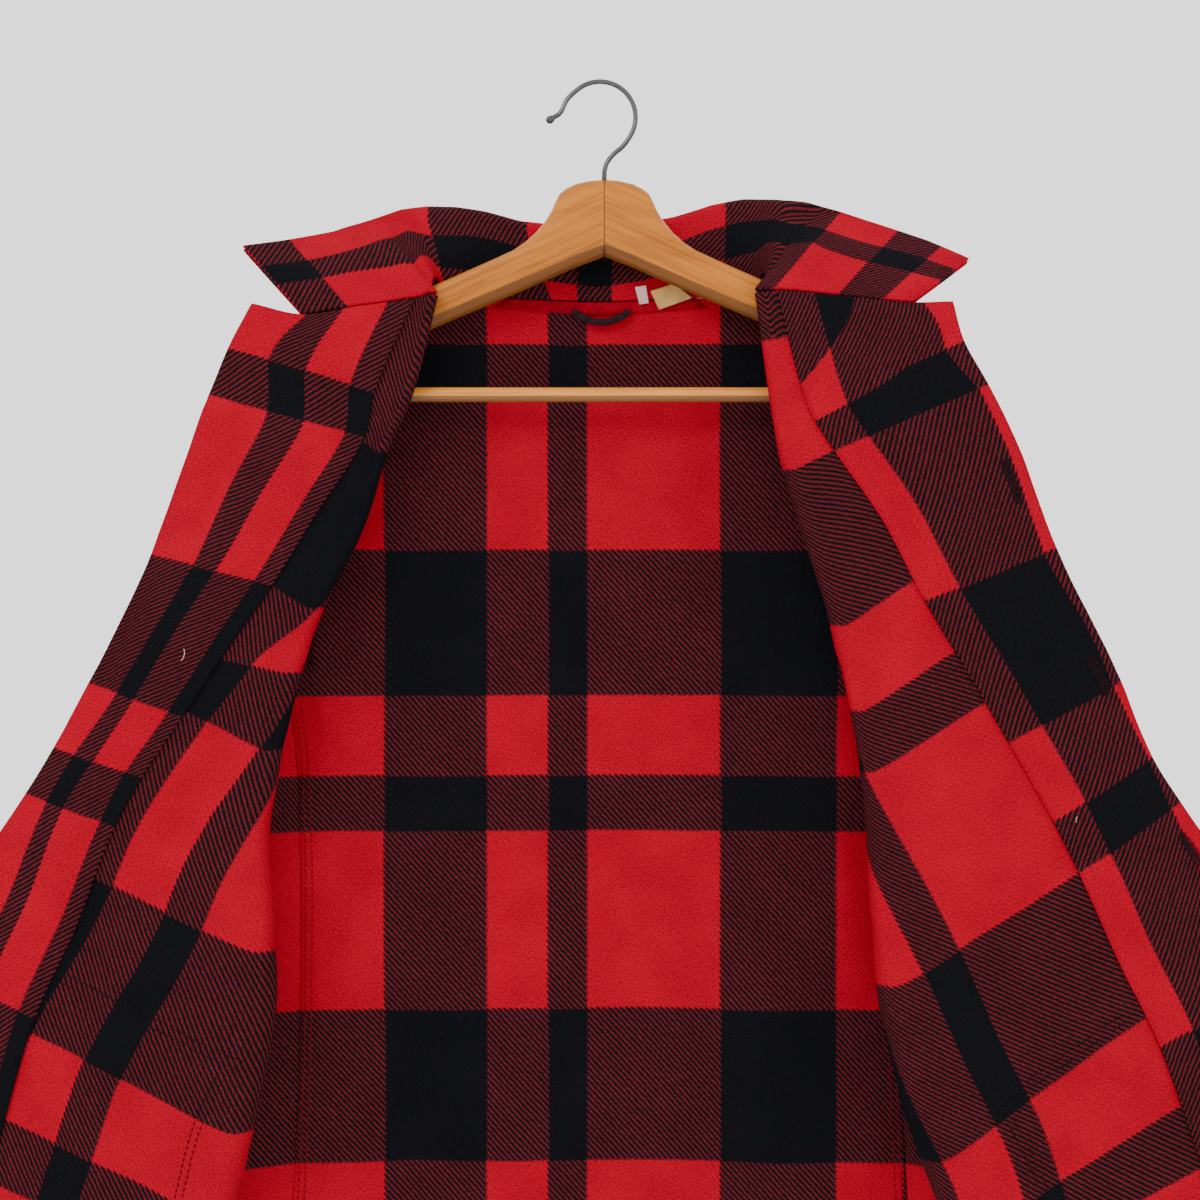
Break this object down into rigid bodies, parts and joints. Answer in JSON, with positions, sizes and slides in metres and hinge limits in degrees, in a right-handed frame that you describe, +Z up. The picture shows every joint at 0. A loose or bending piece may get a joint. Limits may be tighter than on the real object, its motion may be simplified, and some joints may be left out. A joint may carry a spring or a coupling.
{
  "type": "mackinaw jacket on a wooden hanger",
  "caption": "Plaid wool mackinaw jacket hanging open on a wooden hanger, fronts thrown outwards over the sleeves, collar spread, pockets with flaps.",
  "frame": {"origin": "crown inside the hanger's hook, where a peg or rail bears", "axes": "+Z up; the wearer would face -Y; the wearer's left is +X"},
  "size_m": [1.0297, 0.101, 0.8813],
  "materials": {
    "wool_body": "napped heavy wool in a red and black plaid twill",
    "wool_facing": "napped heavy wool in a red and black plaid twill, face side",
    "wool_collar": "napped heavy wool in a red and black plaid twill, stripes along the collar",
    "button_horn": "dark horn-like, polished",
    "neck_tape": "red woven tape",
    "loop_cord": "dark brown cord",
    "label_linen": "beige woven, blank",
    "label_white": "white woven, blank",
    "hanger_wood": "clear-lacquered light hardwood",
    "bar_wood": "pale turned dowel",
    "hook_steel": "bright steel wire"
  },
  "bodies": {
    "root": {"back": "wool_body", "front_r": "wool_body", "front_l": "wool_body", "facing_r": "wool_facing", "facing_l": "wool_facing", "sleeve_r": "wool_body", "sleeve_l": "wool_body", "collar_upper": "wool_collar", "collar_under": "wool_collar", "pocket_r": "wool_body", "pocket_l": "wool_body", "pocket_flap_r": "wool_facing", "pocket_flap_l": "wool_facing", "button_1": "button_horn", "button_2": "button_horn", "button_3": "button_horn", "button_4": "button_horn", "neck_tape": "neck_tape", "hang_loop": "loop_cord", "label_beige": "label_linen", "label_white": "label_white", "hanger_arm_r": "hanger_wood", "hanger_arm_l": "hanger_wood", "hanger_bar": "bar_wood", "hanger_hook": "hook_steel"}
  },
  "joints": []
}
